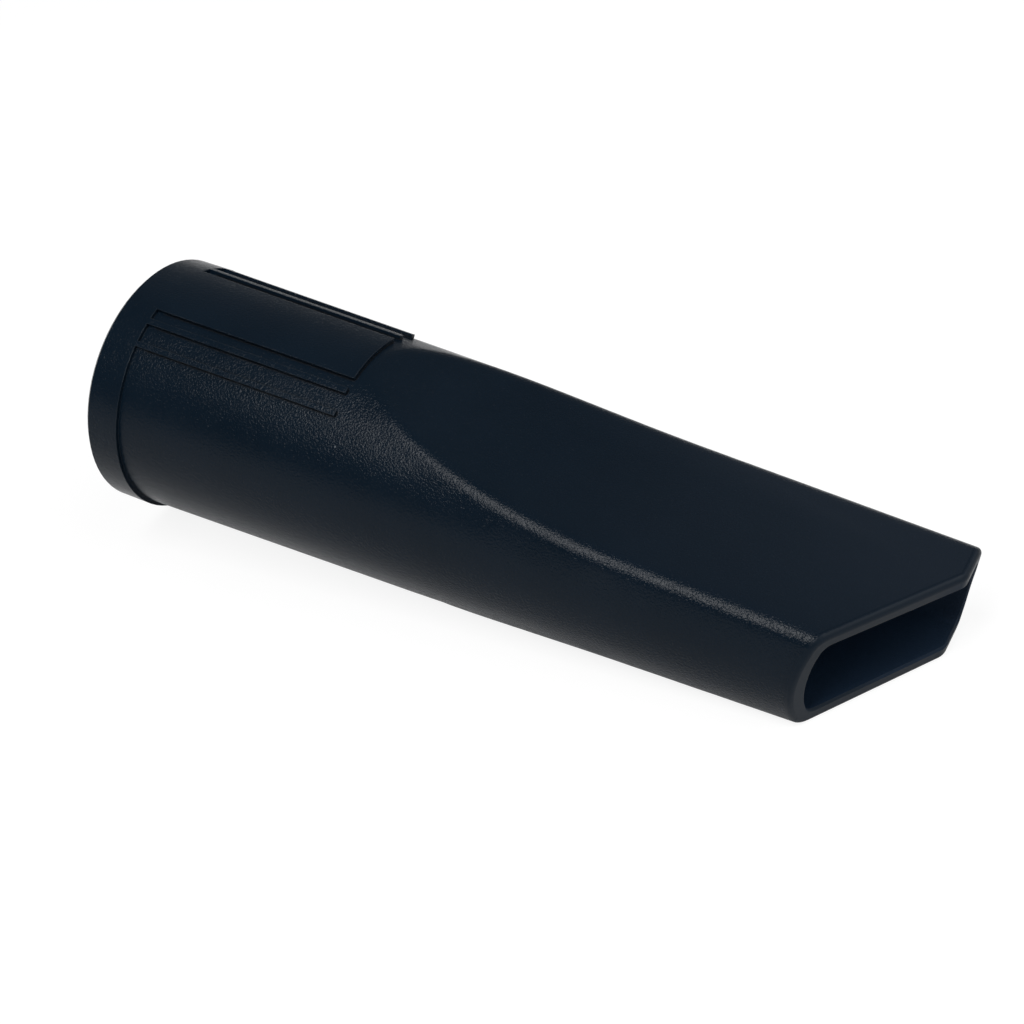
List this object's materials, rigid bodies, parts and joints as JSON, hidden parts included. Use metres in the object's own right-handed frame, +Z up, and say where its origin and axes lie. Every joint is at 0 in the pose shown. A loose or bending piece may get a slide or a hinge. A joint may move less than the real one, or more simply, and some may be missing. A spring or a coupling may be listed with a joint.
{
  "type": "vacuum crevice tool",
  "caption": "Flat black plastic vacuum crevice nozzle: a round ribbed socket that scoops down into a wide, shallow mouth cut at a slant.",
  "frame": {"origin": "floor level, under the middle of the outline as the tool lies at rest", "axes": "+X from the socket end toward the mouth, +Y toward the mouth's leading tip, +Z up"},
  "size_m": [0.1264, 0.038, 0.0411],
  "materials": {
    "black_plastic": "fine moulded grain, satin"
  },
  "bodies": {
    "root": {"crevice_tool": "black_plastic"}
  },
  "joints": []
}
